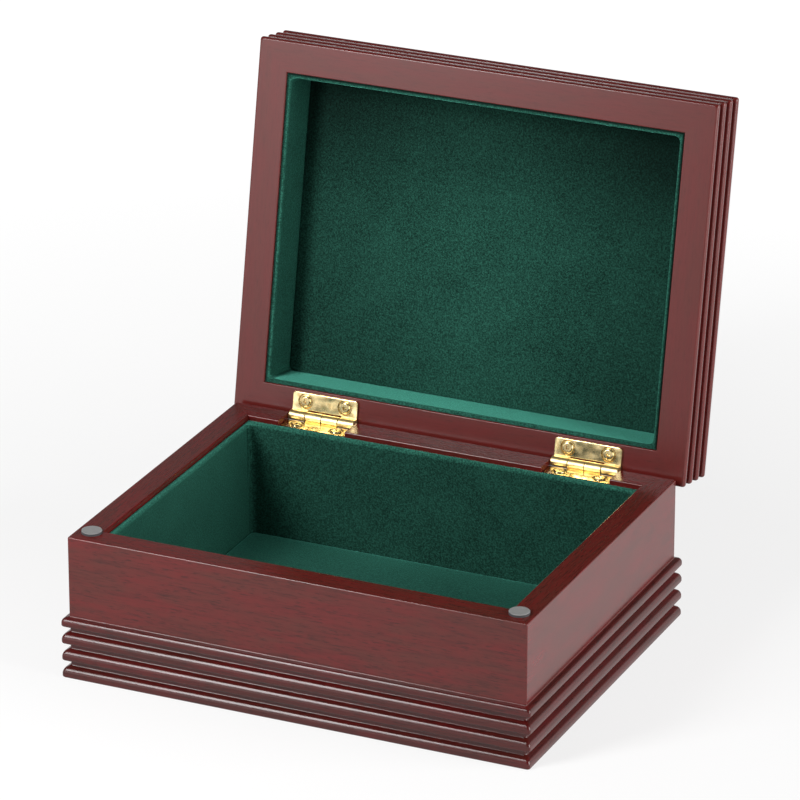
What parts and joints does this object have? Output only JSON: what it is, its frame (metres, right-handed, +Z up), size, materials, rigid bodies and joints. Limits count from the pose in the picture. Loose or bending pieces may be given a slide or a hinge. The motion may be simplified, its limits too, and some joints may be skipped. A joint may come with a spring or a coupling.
{
  "type": "wooden keepsake box",
  "caption": "Rectangular wooden keepsake box with reeded mouldings round its foot and lid, a velvet lining and a lid that swings open on brass hinges.",
  "frame": {"origin": "middle of the underside, on the surface that the box stands on", "axes": "+X to the right along the width, +Y from the front to the hinges at the back, +Z up; the lid is at rest open"},
  "size_m": [0.195, 0.2019, 0.203],
  "materials": {
    "lacquered_wood": "mahogany stain under satin lacquer",
    "plywood": "raw plywood",
    "velvet": "short pile velvet",
    "felt": "felt",
    "brass": "polished and plated",
    "rubber": "matte"
  },
  "bodies": {
    "base": {"base_front_wall": "lacquered_wood", "base_back_wall": "lacquered_wood", "base_left_wall": "lacquered_wood", "base_right_wall": "lacquered_wood", "base_bottom_board": "plywood", "base_felt": "felt", "base_floor_pad": "velvet", "base_front_liner": "velvet", "base_back_liner": "velvet", "base_left_liner": "velvet", "base_right_liner": "velvet", "bumper_left": "rubber", "bumper_right": "rubber", "left_hinge_base_leaf": "brass", "left_hinge_pin": "brass", "left_hinge_base_screws": "brass", "right_hinge_base_leaf": "brass", "right_hinge_pin": "brass", "right_hinge_base_screws": "brass"},
    "lid": {"lid_front_rail": "lacquered_wood", "lid_back_rail": "lacquered_wood", "lid_left_rail": "lacquered_wood", "lid_right_rail": "lacquered_wood", "lid_top_panel": "lacquered_wood", "lid_panel_pad": "velvet", "lid_front_liner": "velvet", "lid_back_liner": "velvet", "lid_left_liner": "velvet", "lid_right_liner": "velvet", "left_hinge_lid_leaf": "brass", "left_hinge_lid_screws": "brass", "right_hinge_lid_leaf": "brass", "right_hinge_lid_screws": "brass"}
  },
  "joints": [
    {"name": "lid_hinge", "type": "hinge", "parent": "base", "child": "lid", "pos_m": [0, 0.0735, 0.0569], "axis": [1, 0, 0], "range_deg": [0, 100.6]}
  ]
}
